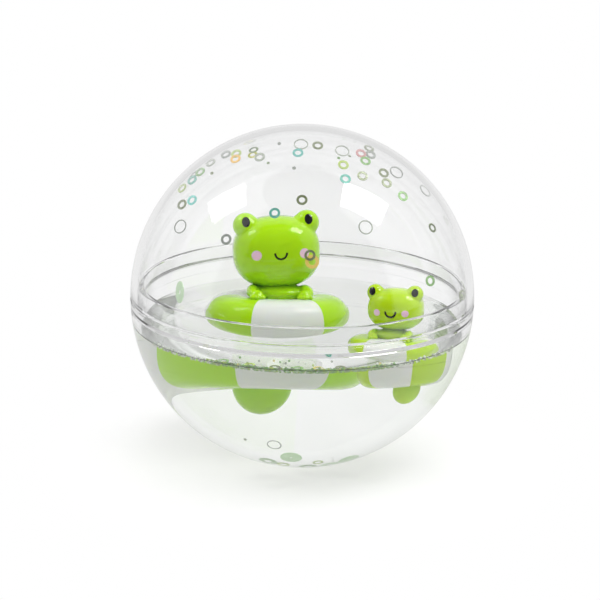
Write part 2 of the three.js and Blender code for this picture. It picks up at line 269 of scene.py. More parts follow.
# an oval printed on the front of a piece, in that piece's own millimetres
def buildOvalPrint():
    group, source, sink = newGroup(
        "ovalPrint",
        [("Vector", "NodeSocketVector"), ("Across", "NodeSocketFloat"), ("Height", "NodeSocketFloat"),
         ("Half Width", "NodeSocketFloat"), ("Half Height", "NodeSocketFloat"), ("Soft", "NodeSocketFloat")],
        [("Mask", "NodeSocketFloat")])
    parts = addNode(group, "ShaderNodeSeparateXYZ")
    feed(group, parts.inputs[0], source.outputs["Vector"])
    across = mathNode(group, "SUBTRACT", parts.outputs["X"], source.outputs["Across"])
    height = mathNode(group, "SUBTRACT", parts.outputs["Z"], source.outputs["Height"])
    across = mathNode(group, "DIVIDE", across, source.outputs["Half Width"])
    height = mathNode(group, "DIVIDE", height, source.outputs["Half Height"])
    squares = mathNode(group, "ADD", mathNode(group, "POWER", across, 2), mathNode(group, "POWER", height, 2))
    reach = mathNode(group, "SQRT", squares)
    edge = mathNode(group, "DIVIDE", mathNode(group, "SUBTRACT", 1.0, reach), source.outputs["Soft"])
    inside = softEdge(group, edge)
    front = mathNode(group, "LESS_THAN", parts.outputs["Y"], 0.0)
    feed(group, sink.inputs["Mask"], mathNode(group, "MULTIPLY", inside, front))
    return group


# a smile: the lower part of a circle's line, which runs up a little at its ends
smileShape = {"edge": 0.08, "endRise": 0.12}


def buildSmilePrint():
    group, source, sink = newGroup(
        "smilePrint",
        [("Vector", "NodeSocketVector"), ("Height", "NodeSocketFloat"), ("Half Width", "NodeSocketFloat"),
         ("Drop", "NodeSocketFloat"), ("Line", "NodeSocketFloat")],
        [("Mask", "NodeSocketFloat")])
    parts = addNode(group, "ShaderNodeSeparateXYZ")
    feed(group, parts.inputs[0], source.outputs["Vector"])
    across = mathNode(group, "DIVIDE", parts.outputs["X"], source.outputs["Half Width"])
    height = mathNode(group, "SUBTRACT", parts.outputs["Z"], source.outputs["Height"])
    height = mathNode(group, "DIVIDE", height, source.outputs["Drop"])
    height = mathNode(group, "MINIMUM", height, 0.0)
    squares = mathNode(group, "ADD", mathNode(group, "POWER", across, 2), mathNode(group, "POWER", height, 2))
    offLine = mathNode(group, "ABSOLUTE", mathNode(group, "SUBTRACT", mathNode(group, "SQRT", squares), 1.0))
    within = mathNode(group, "SUBTRACT", source.outputs["Line"], offLine)
    edge = mathNode(group, "DIVIDE", within, smileShape["edge"])
    inside = softEdge(group, edge)
    ends = mathNode(group, "ADD", source.outputs["Height"], smileShape["endRise"])
    lower = mathNode(group, "LESS_THAN", parts.outputs["Z"], ends)
    front = mathNode(group, "LESS_THAN", parts.outputs["Y"], 0.0)
    both = mathNode(group, "MULTIPLY", lower, front)
    feed(group, sink.inputs["Mask"], mathNode(group, "MULTIPLY", inside, both))
    return group


mouldSkin = buildMouldSkin()
ovalPrint = buildOvalPrint()
smilePrint = buildSmilePrint()


# clear materials: the tint and haze come and go in smears, and the shadow is what diffuse light keeps
plasticLook = {
    "tint": (0.955, 0.957, 0.96, 1),
    "ior": shell["ior"],
    "haze": 0.006,
    "shadow": (0.985, 0.99, 0.985, 1),
    "smearScale": 60,
}
waterLook = {
    "tint": (0.92, 0.945, 0.91, 1),
    "ior": 1.333,
    "haze": 0.0,
    "shadow": (0.82, 0.825, 0.80, 1),
    "smearScale": 60,
}


def clearMaterial(name, look):
    material, tree = newMaterial(name)
    coords = addNode(tree, "ShaderNodeTexCoord")
    smear = noiseNode(tree, coords.outputs["Object"], look["smearScale"])
    body = addNode(tree, "ShaderNodeBsdfPrincipled")
    body.inputs["Transmission Weight"].default_value = 1
    body.inputs["IOR"].default_value = look["ior"]
    feed(tree, body.inputs["Base Color"], mixColour(tree, smear.outputs["Fac"], (1, 1, 1, 1), look["tint"]))
    feed(tree, body.inputs["Roughness"], mathNode(tree, "MULTIPLY", smear.outputs["Fac"], look["haze"]))
    passing = addNode(tree, "ShaderNodeBsdfTransparent")
    passing.inputs["Color"].default_value = look["shadow"]
    path = addNode(tree, "ShaderNodeLightPath")
    soft = mathNode(tree, "MAXIMUM", path.outputs["Is Shadow Ray"], path.outputs["Is Diffuse Ray"])
    mix = addNode(tree, "ShaderNodeMixShader")
    feed(tree, mix.inputs[0], soft)
    tree.links.new(body.outputs[0], mix.inputs[1])
    tree.links.new(passing.outputs[0], mix.inputs[2])
    showSurface(tree, mix)
    return material


frogPaint = {
    "white": (0.82, 0.84, 0.80, 1),
    "black": (0.008, 0.007, 0.012, 1),
    "pink": (0.93, 0.62, 0.80, 1),
    "cheekSoft": 0.16,
    "pupilSoft": 0.08,
    "ior": 1.52,
    "specular": 0.12,
    "gloss": 0.10,
    "grain": 0.12,
    "coat": 0.9,
    "ringCoat": 0.45,
    "coatRoughness": 0.04,
    "wetEdge": 0.0006,
    "glow": 0.12,
    "glowReach": (0.6, 1.0, 0.1),
    "glowScale": 0.001,
}


# green plastic in a frog's own frame, glossy above the water; paint(tree, vector, colour) prints on it
def frogMaterial(name, frog, placing, paint=None, coat=frogPaint["coat"]):
    material, tree = newMaterial(name)
    coords = addNode(tree, "ShaderNodeTexCoord")
    local = addNode(tree, "ShaderNodeMapping", vector_type="TEXTURE")
    local.inputs["Location"].default_value = placing.to_translation()
    local.inputs["Rotation"].default_value = placing.to_euler("XYZ")
    local.inputs["Scale"].default_value = (mm, mm, mm)
    feed(tree, local.inputs["Vector"], coords.outputs["Object"])
    skin = useGroup(tree, mouldSkin, Vector=coords.outputs["Object"], Colour=frog["green"],
                    Deep=frog["deepGreen"], Gloss=frogPaint["gloss"], Grain=frogPaint["grain"])
    colour = skin.outputs["Colour"]
    if paint:
        colour = paint(tree, local.outputs["Vector"], colour)
    body = addNode(tree, "ShaderNodeBsdfPrincipled")
    feed(tree, body.inputs["Base Color"], colour)
    feed(tree, body.inputs["Roughness"], skin.outputs["Roughness"])
    feed(tree, body.inputs["Normal"], skin.outputs["Normal"])
    body.inputs["IOR"].default_value = frogPaint["ior"]
    body.inputs["Specular IOR Level"].default_value = frogPaint["specular"]
    parts = addNode(tree, "ShaderNodeSeparateXYZ")
    feed(tree, parts.inputs[0], coords.outputs["Object"])
    dry = addNode(tree, "ShaderNodeMapRange")
    feed(tree, dry.inputs["Value"], parts.outputs["Z"])
    waterTop = ballCentre.z + waterLevel * mm
    dry.inputs["From Min"].default_value = waterTop
    dry.inputs["From Max"].default_value = waterTop + frogPaint["wetEdge"]
    dry.inputs["To Max"].default_value = coat
    feed(tree, body.inputs["Coat Weight"], dry.outputs["Result"])
    body.inputs["Coat Roughness"].default_value = frogPaint["coatRoughness"]
    body.inputs["Subsurface Weight"].default_value = frogPaint["glow"]
    body.inputs["Subsurface Radius"].default_value = frogPaint["glowReach"]
    body.inputs["Subsurface Scale"].default_value = frogPaint["glowScale"]
    showSurface(tree, body)
    return material


# white bands round a swim ring, one of them in front
bands = {"count": 3, "whiteShare": 0.5, "edge": 0.02}


def paintBands(tree, vector, colour):
    parts = addNode(tree, "ShaderNodeSeparateXYZ")
    feed(tree, parts.inputs[0], vector)
    forward = mathNode(tree, "MULTIPLY", parts.outputs["Y"], -1.0)
    angle = mathNode(tree, "ARCTAN2", parts.outputs["X"], forward)
    wave = mathNode(tree, "COSINE", mathNode(tree, "MULTIPLY", angle, float(bands["count"])))
    cut = math.cos(math.pi * bands["whiteShare"])
    edge = mathNode(tree, "DIVIDE", mathNode(tree, "SUBTRACT", wave, cut), bands["edge"])
    return mixColour(tree, softEdge(tree, edge), colour, frogPaint["white"])


def facePaint(face):
    def paint(tree, vector, colour):
        for side in (-1, 1):
            cheek = useGroup(tree, ovalPrint, **{
                "Vector": vector, "Across": side * face["cheekAcross"], "Height": face["cheekHeight"],
                "Half Width": face["cheekSize"], "Half Height": face["cheekSize"],
                "Soft": frogPaint["cheekSoft"]})
            colour = mixColour(tree, cheek.outputs["Mask"], colour, frogPaint["pink"])
            pupil = useGroup(tree, ovalPrint, **{
                "Vector": vector, "Across": side * face["pupilAcross"], "Height": face["pupilHeight"],
                "Half Width": face["pupilWidth"], "Half Height": face["pupilTall"],
                "Soft": frogPaint["pupilSoft"]})
            colour = mixColour(tree, pupil.outputs["Mask"], colour, frogPaint["black"])
        smile = useGroup(tree, smilePrint, **{
            "Vector": vector, "Height": face["smileHeight"], "Half Width": face["smileHalf"],
            "Drop": face["smileDrop"], "Line": face["smileLine"]})
        return mixColour(tree, smile.outputs["Mask"], colour, frogPaint["black"])
    return paint


steelLook = {"colour": (0.55, 0.56, 0.57, 1), "deep": (0.42, 0.43, 0.45, 1), "gloss": 0.22, "grain": 0.2}


def steelMaterial():
    material, tree = newMaterial("ballastSteel")
    coords = addNode(tree, "ShaderNodeTexCoord")
    skin = useGroup(tree, mouldSkin, Vector=coords.outputs["Object"], Colour=steelLook["colour"],
                    Deep=steelLook["deep"], Gloss=steelLook["gloss"], Grain=steelLook["grain"])
    body = addNode(tree, "ShaderNodeBsdfPrincipled")
    body.inputs["Metallic"].default_value = 1
    feed(tree, body.inputs["Base Color"], skin.outputs["Colour"])
    feed(tree, body.inputs["Roughness"], skin.outputs["Roughness"])
    feed(tree, body.inputs["Normal"], skin.outputs["Normal"])
    showSurface(tree, body)
    return material


# iridescent film: the tint is stored on each ring, and pales a little along it
filmLook = {
    "pale": (0.95, 1.0, 0.9, 1),
    "paleShare": 0.55,
    "shiftScale": 500,
    "shiftShare": 0.5,
    "metallic": 0.2,
    "roughness": 0.25,
    "alpha": 0.93,
}


def filmMaterial():
    material, tree = newMaterial("iridescentFilm")
    tint = addNode(tree, "ShaderNodeAttribute", attribute_name="filmTint")
    coords = addNode(tree, "ShaderNodeTexCoord")
    noise = noiseNode(tree, coords.outputs["Object"], filmLook["shiftScale"])
    pale = mixColour(tree, filmLook["paleShare"], tint.outputs["Color"], filmLook["pale"])
    shift = mathNode(tree, "MULTIPLY", noise.outputs["Fac"], filmLook["shiftShare"])
    colour = mixColour(tree, shift, tint.outputs["Color"], pale)
    body = addNode(tree, "ShaderNodeBsdfPrincipled")
    feed(tree, body.inputs["Base Color"], colour)
    body.inputs["Metallic"].default_value = filmLook["metallic"]
    body.inputs["Roughness"].default_value = filmLook["roughness"]
    body.inputs["Alpha"].default_value = filmLook["alpha"]
    showSurface(tree, body)
    return material


clearPlastic = clearMaterial("clearPlastic", plasticLook)
bathWater = clearMaterial("bathWater", waterLook)
ballastSteel = steelMaterial()
iridescentFilm = filmMaterial()
print("materials ready")


# mesh helpers
weldDistance = 1e-4


def arcOutline(centre, halfWidth, halfHeight, start, end, steps):
    sweep = [start + (end - start) * i / steps for i in range(steps + 1)]
    return [(centre[0] + halfWidth * math.cos(a), centre[1] + halfHeight * math.sin(a)) for a in sweep]


def ballArc(radius, startHeight, endHeight, steps):
    start = math.asin(startHeight / radius)
    end = math.asin(endHeight / radius)
    return [(max(r, 0.0), z) for r, z in arcOutline((0, 0), radius, radius, start, end, steps)]


# turns an outline of (radius, height) points about Z
def turnOutline(outline, steps, closed):
    bm = bmesh.new()
    chain = [bm.verts.new((radius, 0, height)) for radius, height in outline]
    ends = chain[1:] + chain[:1] if closed else chain[1:]
    edges = [bm.edges.new(pair) for pair in zip(chain, ends)]
    bmesh.ops.spin(bm, geom=chain + edges, cent=(0, 0, 0), axis=(0, 0, 1), angle=2 * math.pi,
                   steps=steps, use_merge=True)
    bmesh.ops.remove_doubles(bm, verts=bm.verts, dist=weldDistance)
    bmesh.ops.recalc_face_normals(bm, faces=bm.faces)
    return bm


def newObject(name, bm, material=None):
    mesh = bpy.data.meshes.new(name)
    bm.to_mesh(mesh)
    bm.free()
    if material:
        mesh.materials.append(material)
    made = bpy.data.objects.new(name, mesh)
    addToScene(made)
    return made


# edges that turn by more than sharp degrees stay crisp
def finishPiece(name, bm, placing, material, body, replaced=(), sharp=35):
    bm.transform(placing)
    limit = math.radians(sharp)
    for face in bm.faces:
        face.smooth = True
    for edge in bm.edges:
        edge.smooth = edge.calc_face_angle(0) < limit
    piece = newObject(name, bm, material)
    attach(piece, body)
    if replaced:
        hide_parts(*replaced)


def finishClear(name, bm, node):
    finishPiece(name, bm, ballFrame, clearPlastic, "ball", [node])


def finishFrogPiece(frog, name, bm, placing, material, body, node, sharp=35):
    owner = frog["name"] + "_"
    finishPiece(owner + name, bm, placing @ Matrix.Scale(mm, 4), material, owner + body,
                [owner + node], sharp)


def finishFilm(name, bm, body, replaced=()):
    finishPiece(name, bm, Matrix.Identity(4), iridescentFilm, body, replaced)


# clear shells, plug and water
def makeShells():
    around, along = shell["around"], shell["along"]
    gap = shell["seamGap"] / 2
    rimRound = shell["rimRound"]
    domeOutline = ballArc(innerRadius, innerRadius, gap, along)
    domeOutline += ballArc(ballRadius, gap + rimRound, ballRadius, along)
    domeOutline.insert(along + 1, (ballRadius - rimRound, gap))
    dome = turnOutline(domeOutline, around, False)
    finishClear("clear_upper_dome", dome, "upper_dome")

    rise, drop = shell["tongueRise"], shell["tongueDrop"]
    tongueOuter = math.sqrt(innerRadius ** 2 - rise ** 2) - shell["lap"]
    tongueInner = tongueOuter - shell["tongueWall"]
    stepZ = -gap - shell["lowerRimHeight"]
    rimRadius = ballRadius - shell["lowerRimStep"]
    floorZ = baseZ + shell["floor"]
    seatZ = baseZ + shell["plugDepth"]
    headBore = shell["plugHead"] + shell["lap"]
    stemBore = shell["plugStem"] + shell["lap"]
    bowlOutline = ballArc(ballRadius, baseZ, stepZ, along)
    bowlOutline.append((rimRadius, stepZ + shell["rimSlope"]))
    bowlOutline += [(rimRadius, -gap - rimRound), (rimRadius - rimRound, -gap)]
    lip = shell["lipChamfer"]
    footAbove, footBelow = shell["tongueFoot"]
    bowlOutline += [(tongueOuter, -gap), (tongueOuter, rise - lip), (tongueOuter - lip, rise)]
    bowlOutline += [(tongueInner + lip, rise), (tongueInner, rise - lip), (tongueInner, -drop + footAbove)]
    bowlOutline += ballArc(innerRadius, -drop - footBelow, floorZ, along)
    bowlOutline += [(stemBore, floorZ), (stemBore, seatZ), (headBore, seatZ), (headBore, baseZ)]
    bowl = turnOutline(bowlOutline, around, True)
    finishClear("clear_lower_bowl", bowl, "lower_bowl")

    underside = baseZ + shell["plugRecess"]
    head = headBore + shell["snug"]
    stem = stemBore + shell["snug"]
    headTop = seatZ + shell["snug"]
    plugOutline = [(0, underside), (head, underside), (head, headTop)]
    plugOutline += [(stem, headTop), (stem, floorZ), (0, floorZ)]
    plug = turnOutline(plugOutline, shell["plugAround"], False)
    finishClear("base_fill_plug", plug, "fill_plug")


# the water reaches a little into the wall, so that no air shows between them
water = {
    "intoWall": 0.25,
    "meniscusRise": 0.7,
    "meniscusReach": 0.9,
    "around": 144,
    "along": 40,
    "across": 36,
}


def makeWater():
    radius = innerRadius + water["intoWall"]
    topZ = waterLevel + water["meniscusRise"]
    rim = math.sqrt(radius ** 2 - topZ ** 2)
    bottomZ = baseZ + shell["floor"] - water["intoWall"]
    outline = [(0, bottomZ)] + ballArc(radius, bottomZ, topZ, water["along"])
    for i in range(1, water["across"] + 1):
        r = rim * (1 - (i / water["across"]) ** 2)
        climb = water["meniscusRise"] * math.exp((r - rim) / water["meniscusReach"])
        outline.append((r, waterLevel + climb))
    bm = turnOutline(outline, water["around"], False)
    finishPiece("bath_water", bm, ballFrame, bathWater, "water", ["water"], sharp=50)


# frogs, in millimetres from the middle of the swim ring, facing -Y
bigFrog = {
    "name": "big",
    "green": (0.45, 0.80, 0.002, 1),
    "deepGreen": (0.38, 0.72, 0.001, 1),
    "facing": 10.5,
    "ringMajor": 12.8,
    "ringHalfWidth": 8.9,
    "ringHalfHeight": 9.4,
    "ringWall": 1.2,
    "cupRadius": 5.9,
    "cupHang": 8.2,
    "cupPocket": 4.3,
    "chestRadius": 8.6,
    "chestTop": 13.0,
    "headCentre": 22.4,
    "headHalf": (13.05, 11.3, 10.8),
    "eyeRadius": 3.8,
    "eyeAngle": 42.0,
    "eyeForward": 10.0,
    "handRadius": 1.9,
    "hand": (7.0, -10.4, 10.4),
    "neckRadius": 4.0,
    "headRoll": 3.3,
    "headTurn": -2.0,
    "headShift": -0.1,
    "bodyTurn": -4.0,
    "face": {"pupilAcross": 9.35, "pupilHeight": 32.1, "pupilWidth": 1.2, "pupilTall": 1.5,
             "cheekAcross": 7.1, "cheekHeight": 22.5, "cheekSize": 1.45,
             "smileHeight": 22.9, "smileHalf": 1.75, "smileDrop": 1.7, "smileLine": 0.17},
}
smallFrog = {
    "name": "small",
    "green": (0.52, 0.78, 0.002, 1),
    "deepGreen": (0.43, 0.70, 0.001, 1),
    "facing": -16.0,
    "ringMajor": 7.4,
    "ringHalfWidth": 5.6,
    "ringHalfHeight": 5.6,
    "ringWall": 1.0,
    "cupRadius": 3.8,
    "cupHang": 6.4,
    "cupPocket": 2.7,
    "chestRadius": 5.4,
    "chestTop": 7.8,
    "headCentre": 13.3,
    "headHalf": (7.9, 6.9, 5.9),
    "eyeRadius": 2.4,
    "eyeAngle": 43.0,
    "eyeForward": 10.0,
    "handRadius": 1.2,
    "hand": (4.4, -6.3, 6.2),
    "neckRadius": 2.6,
    "headRoll": 0.6,
    "headTurn": 0.0,
    "headShift": 0.6,
    "bodyTurn": 0.0,
    "face": {"pupilAcross": 6.1, "pupilHeight": 18.4, "pupilWidth": 0.95, "pupilTall": 1.15,
             "cheekAcross": 4.05, "cheekHeight": 12.8, "cheekSize": 0.95,
             "smileHeight": 13.2, "smileHalf": 1.45, "smileDrop": 1.5, "smileLine": 0.19},
}
ringShape = {"squareness": 2.9, "split": 0.04, "outerSteps": 32, "innerSteps": 16, "around": 96}
cupShape = {"lipAngle": 32, "lipRise": 0.4, "outerSteps": 28, "pocketSteps": 14, "around": 64}
headShape = {"squareness": 2.4, "eyeFillet": 0.9, "subdivisions": 6}


def frogPlacing(frog):
    spin = joints[frog["name"] + "_spin"]
    lean = math.atan2(spin["axis"][1], spin["axis"][2])
    turn = Euler((-lean, 0, math.radians(frog["facing"])), "ZYX").to_matrix().to_4x4()
    return Matrix.Translation(spin["pos_m"]) @ turn


# a section that is squarer on the outer side than towards the hole
def ringOutside(frog, steps):
    outline = []
    for i in range(steps + 1):
        across = math.cos(math.pi * i / steps)
        power = 2 / ringShape["squareness"] if across > 0 else 1
        r = frog["ringMajor"] + frog["ringHalfWidth"] * math.copysign(abs(across) ** power, across)
        outline.append((r, frog["ringHalfHeight"] * math.sin(math.pi * i / steps) ** power))
    return outline


def makeSwimRing(frog, placing, material):
    inner = (frog["ringHalfWidth"] - frog["ringWall"], frog["ringHalfHeight"] - frog["ringWall"])
    for half, side in (("upper", 1), ("lower", -1)):
        centre = (frog["ringMajor"], 0)
        outline = ringOutside(frog, ringShape["outerSteps"])
        outline += arcOutline(centre, inner[0], inner[1], math.pi, 0, ringShape["innerSteps"])
        outline = [(r, side * max(z, ringShape["split"])) for r, z in outline]
        bm = turnOutline(outline, ringShape["around"], True)
        finishFrogPiece(frog, "swim_ring_" + half, bm, placing, material, "frog", "ring_" + half)


def makeBallastCup(frog, placing, material):
    pocket = frog["cupPocket"]
    hang = -frog["cupHang"]
    radius = frog["cupRadius"]
    bottom = -math.pi / 2
    brim = math.radians(cupShape["lipAngle"])
    outline = arcOutline((0, hang), radius, radius, bottom, brim, cupShape["outerSteps"])
    lip = outline[-1]
    outline += [(pocket, lip[1] + cupShape["lipRise"]), (pocket, hang)]
    outline += arcOutline((0, hang), pocket, pocket, 0, bottom, cupShape["pocketSteps"])
    bm = turnOutline([(max(r, 0.0), z) for r, z in outline], cupShape["around"], False)
    finishFrogPiece(frog, "float_cup", bm, placing, material, "cup", "ballast_cup")


def smoothMax(first, second, width):
    overlap = max(width - abs(first - second), 0) / width
    return max(first, second) + overlap * overlap * width / 4


def headReach(frog, direction):
    half = frog["headHalf"]
    total = sum(abs(d / h) ** headShape["squareness"] for d, h in zip(direction, half))
    return total ** (-1 / headShape["squareness"])


# a ball pushed out to a rounded-square head with two eye bumps that run into it softly
def makeHead(frog, placing, material):
    bm = bmesh.new()
    bmesh.ops.create_icosphere(bm, subdivisions=headShape["subdivisions"], radius=1)
    tilt = math.radians(frog["eyeAngle"])
    forward = math.radians(frog["eyeForward"])
    eyes = []
    for side in (-1, 1):
        aim = Vector((side * math.sin(tilt) * math.cos(forward), -math.sin(forward),
                      math.cos(tilt) * math.cos(forward)))
        stretched = Vector([a * h for a, h in zip(aim, frog["headHalf"])])
        eyes.append(stretched.normalized() * headReach(frog, stretched.normalized()))
    for vert in bm.verts:
        direction = vert.co.normalized()
        reach = headReach(frog, direction)
        for eye in eyes:
            near = direction.dot(eye)
            inside = near ** 2 - eye.length_squared + frog["eyeRadius"] ** 2
            if inside > 0 and near > 0:
                reach = smoothMax(reach, near + math.sqrt(inside), headShape["eyeFillet"])
        vert.co = direction * reach + Vector((0, 0, frog["headCentre"]))
    finishFrogPiece(frog, "frog_head", bm, placing, material, "frog", "head", sharp=80)


# chest, arms and hands are lumps fused by a fine remesh and smoothed
lumpShape = {"around": 24, "along": 16, "voxels": 34, "rounds": 6, "easing": 0.5}
# shares of the chest's radius and height, of the hand's place and of its radius
chestShape = {"middle": 0.55, "half": 0.5, "neckHalf": 0.25}
shoulderShape = {"forward": 0.2, "deep": 0.85, "tall": 1.5}
armShape = {"out": 1.12, "back": 0.52, "lift": 0.3, "thick": 1.1, "half": 0.58, "tall": 1.05, "turn": 0.12}
handShape = {"tall": 0.85}
fingerShape = {"fan": 0.8, "reach": 0.95, "curve": 0.3, "drop": 0.3, "size": (0.5, 0.6, 0.45)}


def addLump(bm, centre, size, turn=None):
    shape = Matrix.Translation(centre) @ (turn or Matrix.Identity(4)) @ Matrix.Diagonal((*size, 1))
    bmesh.ops.create_uvsphere(bm, u_segments=lumpShape["around"], v_segments=lumpShape["along"],
                              radius=1, matrix=shape)


def makeBody(frog, placing, material):
    bm = bmesh.new()
    radius = frog["chestRadius"]
    top = frog["chestTop"]
    neck = frog["neckRadius"]
    hand = frog["handRadius"]
    x, y, z = frog["hand"]
    addLump(bm, (0, 0, top * chestShape["middle"]), (radius, radius, top * chestShape["half"]))
    addLump(bm, (0, y * shoulderShape["forward"], z),
            (radius, radius * shoulderShape["deep"], hand * shoulderShape["tall"]))
    addLump(bm, (0, 0, top), (neck, neck, top * chestShape["neckHalf"]))
    for side in (-1, 1):
        addLump(bm, (side * x, y, z), (hand, hand, hand * handShape["tall"]))
        middle = (side * x * armShape["out"], y * armShape["back"], z + hand * armShape["lift"])
        addLump(bm, middle, (hand * armShape["thick"], -y * armShape["half"], hand * armShape["tall"]),
                Matrix.Rotation(side * armShape["turn"], 4, "Z"))
        for spread in (-1, 0, 1):
            reach = fingerShape["reach"] - fingerShape["curve"] * abs(spread)
            across = side * x + spread * hand * fingerShape["fan"]
            tip = (across, y - hand * reach, z - hand * fingerShape["drop"])
            addLump(bm, tip, [hand * share for share in fingerShape["size"]])
    lumps = newObject("lumps", bm)
    fuse = lumps.modifiers.new("fuse", "REMESH")
    fuse.mode = "VOXEL"
    fuse.voxel_size = radius / lumpShape["voxels"]
    fused = bpy.data.meshes.new_from_object(lumps.evaluated_get(bpy.context.evaluated_depsgraph_get()))
    bpy.data.objects.remove(lumps)
    bm = bmesh.new()
    bm.from_mesh(fused)
    for _ in range(lumpShape["rounds"]):
        bmesh.ops.smooth_vert(bm, verts=bm.verts, factor=lumpShape["easing"],
                              use_axis_x=True, use_axis_y=True, use_axis_z=True)
    finishFrogPiece(frog, "frog_body", bm, placing, material, "frog", "body", sharp=80)


# a head cocked and turned a little about its neck, and shifted to one side
def headPlacing(frog, placing):
    shift = Matrix.Translation((frog["headShift"] * mm, 0, 0))
    foot = Matrix.Translation((0, 0, frog["chestTop"] * mm))
    cock = Matrix.Rotation(math.radians(-frog["headRoll"]), 4, "Y")
    turn = Matrix.Rotation(math.radians(frog["headTurn"]), 4, "Z")
    return placing @ shift @ foot @ cock @ turn @ foot.inverted()


def makeFrog(frog):
    placing = frogPlacing(frog)
    cocked = headPlacing(frog, placing)
    plain = frogMaterial(frog["name"] + "FrogGreen", frog, placing)
    ring = frogMaterial(frog["name"] + "FrogBands", frog, placing, paintBands, coat=frogPaint["ringCoat"])
    face = frogMaterial(frog["name"] + "FrogFace", frog, cocked, facePaint(frog["face"]))
    makeSwimRing(frog, placing, ring)
    makeBallastCup(frog, placing, plain)
    makeBody(frog, placing @ Matrix.Rotation(math.radians(frog["bodyTurn"]), 4, "Z"), plain)
    makeHead(frog, cocked, face)
    steelBall = frame["nodes"][frog["name"] + "_ballast_ball"]
    steelBall.data.materials.clear()
    steelBall.data.materials.append(ballastSteel)
    print(frog["name"], "frog built")


# film rings: tints by name
tints = {
    "olive": (0.12, 0.16, 0.035, 1),
    "green": (0.16, 0.42, 0.06, 1),
    "lime": (0.42, 0.58, 0.06, 1),
    "teal": (0.03, 0.42, 0.33, 1),
    "aqua": (0.10, 0.55, 0.50, 1),
    "orange": (0.95, 0.52, 0.03, 1),
    "gold": (1.0, 0.72, 0.08, 1),
    "yellow": (0.75, 0.62, 0.10, 1),
    "pink": (0.62, 0.22, 0.24, 1),
    "grey": (0.22, 0.25, 0.22, 1),
    "pale": (0.36, 0.40, 0.33, 1),
    "white": (0.85, 0.90, 0.80, 1),
    "leaf": (0.42, 0.62, 0.34, 1),
    # mint: a pale green, lightened past the flakes' own colour as painted glint and painted light against the
    # dim light under water
    "mint": (0.66, 0.92, 0.58, 1),
}
# outer and inner radius, and steps round
filmSizes = {
    "ring": (1.5, 0.85, 28),
    "bubble": (2.0, 1.72, 28),
    "broad": (1.9, 0.95, 28),
    "wide": (2.6, 1.0, 28),
    "flake": (3.0, 0.6, 28),
    "disc": (3.0, 0.3, 28),
    "bit": (0.8, 0.4, 10),
    "tiny": (0.5, 0.15, 8),
    "speck": (0.32, 0.1, 6),
}
filmThickness = 0.16
filmInset = 0.25
filmLean = 0.35
flakeLean = 0.38
# the tint of each ring on the dome and each ring afloat, by its number
nodeTints = ["pale", "pale", "grey", "grey", "grey", "aqua", "teal", "teal", "aqua", "teal", "lime", "olive",
             "green", "olive", "green", "olive", "green", "lime", "orange", "gold", "green", "grey"]
floatTints = ["green", "lime", "olive", "green", "yellow", "olive"]


# a ring that clings to the wall, tipped a little off it; a broad one lies under the others
def clingRing(bm, size, spot, tint):
    outward = spot.normalized()
    toward = -flakeLean if size == "flake" else math.copysign(filmLean, outward.dot(viewToward))
    leaning = (outward + viewToward * toward).normalized()
    lift = filmSizes[size][0] * outward.cross(leaning).length + filmThickness * (size == "broad")
    addFilmRing(bm, size, outward * (innerRadius - filmInset - lift), leaning, tint)


def addFilmRing(bm, size, centre, outward, tint):
    outer, inner, steps = filmSizes[size]
    half = filmThickness / 2
    section = [(inner, -half), (outer, -half), (outer, half), (inner, half)]
    ring = turnOutline(section, steps, True)
    turn = Vector((0, 0, 1)).rotation_difference(outward).to_matrix().to_4x4()
    ring.transform(ballFrame @ Matrix.Translation(centre) @ turn)
    layer = ring.verts.layers.float_color.new("filmTint")
    for vert in ring.verts:
        vert[layer] = tints[tint]
    mesh = bpy.data.meshes.new("filmRing")
    ring.to_mesh(mesh)
    ring.free()
    bm.from_mesh(mesh)
    bpy.data.meshes.remove(mesh)


def newFilm():
    bm = bmesh.new()
    bm.verts.layers.float_color.new("filmTint")
    return bm


def nodeCentre(node):
    low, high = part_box(node)
    return ((low + high) / 2 - ballCentre) / mm


def numberedNodes(start):
    nodes = [node for node in frame["nodes"] if node.startswith(start)]
    return sorted(nodes, key=lambda node: int(node.rsplit("_", 1)[1]))


def replaceFilmNodes():
    for node, tint in zip(numberedNodes("dome_"), nodeTints):
        bm = newFilm()
        size = "bubble" if "bubble" in node else "ring"
        size = "broad" if tint == "gold" else size
        clingRing(bm, size, nodeCentre(node), tint)
        finishFilm("iris_" + node, bm, "dome_films", [node])
    for node, tint in zip(numberedNodes("floating_"), floatTints):
        bm = newFilm()
        addFilmRing(bm, "ring", nodeCentre(node), Vector((0, 0, 1)), tint)
        finishFilm("iris_" + node, bm, "water", [node])


# further loose rings, by the pixel where the photograph shows each on the dome's front or back wall
frontRings = [
    ("ring", (318, 143), "olive"), ("ring", (385, 171), "olive"), ("ring", (180, 203), "olive"),
    ("ring", (235, 151), "lime"), ("ring", (362, 151), "pink"), ("ring", (372, 152), "grey"),
    ("ring", (224, 151), "grey"), ("ring", (208, 159), "pale"), ("ring", (190, 170), "grey"),
    ("ring", (259, 155), "pale"), ("ring", (310, 255), "olive"), ("bubble", (343, 148), "pale"),
    ("flake", (176, 292), "mint"), ("ring", (466, 295), "olive"), ("tiny", (294, 167), "grey"),
    ("tiny", (279, 142), "grey"), ("tiny", (211, 172), "olive"),
]
backRings = [
    ("ring", (252, 153), "yellow"), ("ring", (253, 148), "grey"), ("ring", (434, 227), "olive"),
    ("ring", (371, 144), "olive"), ("tiny", (339, 157), "green"), ("tiny", (268, 162), "pale"),
    ("tiny", (350, 155), "pale"),
]
# rings that sank and lie against the bowl's wall; the pale mint ones carry painted glint in their tint
sunkRings = [
    ("bubble", (274, 446), "grey"), ("tiny", (245, 440), "olive"), ("disc", (291, 459), "mint"),
    ("disc", (349, 460), "mint"), ("ring", (318, 463), "lime"), ("wide", (268, 462), "leaf"),
    ("wide", (308, 467), "leaf"), ("wide", (330, 465), "mint"), ("broad", (283, 465), "lime"),
]


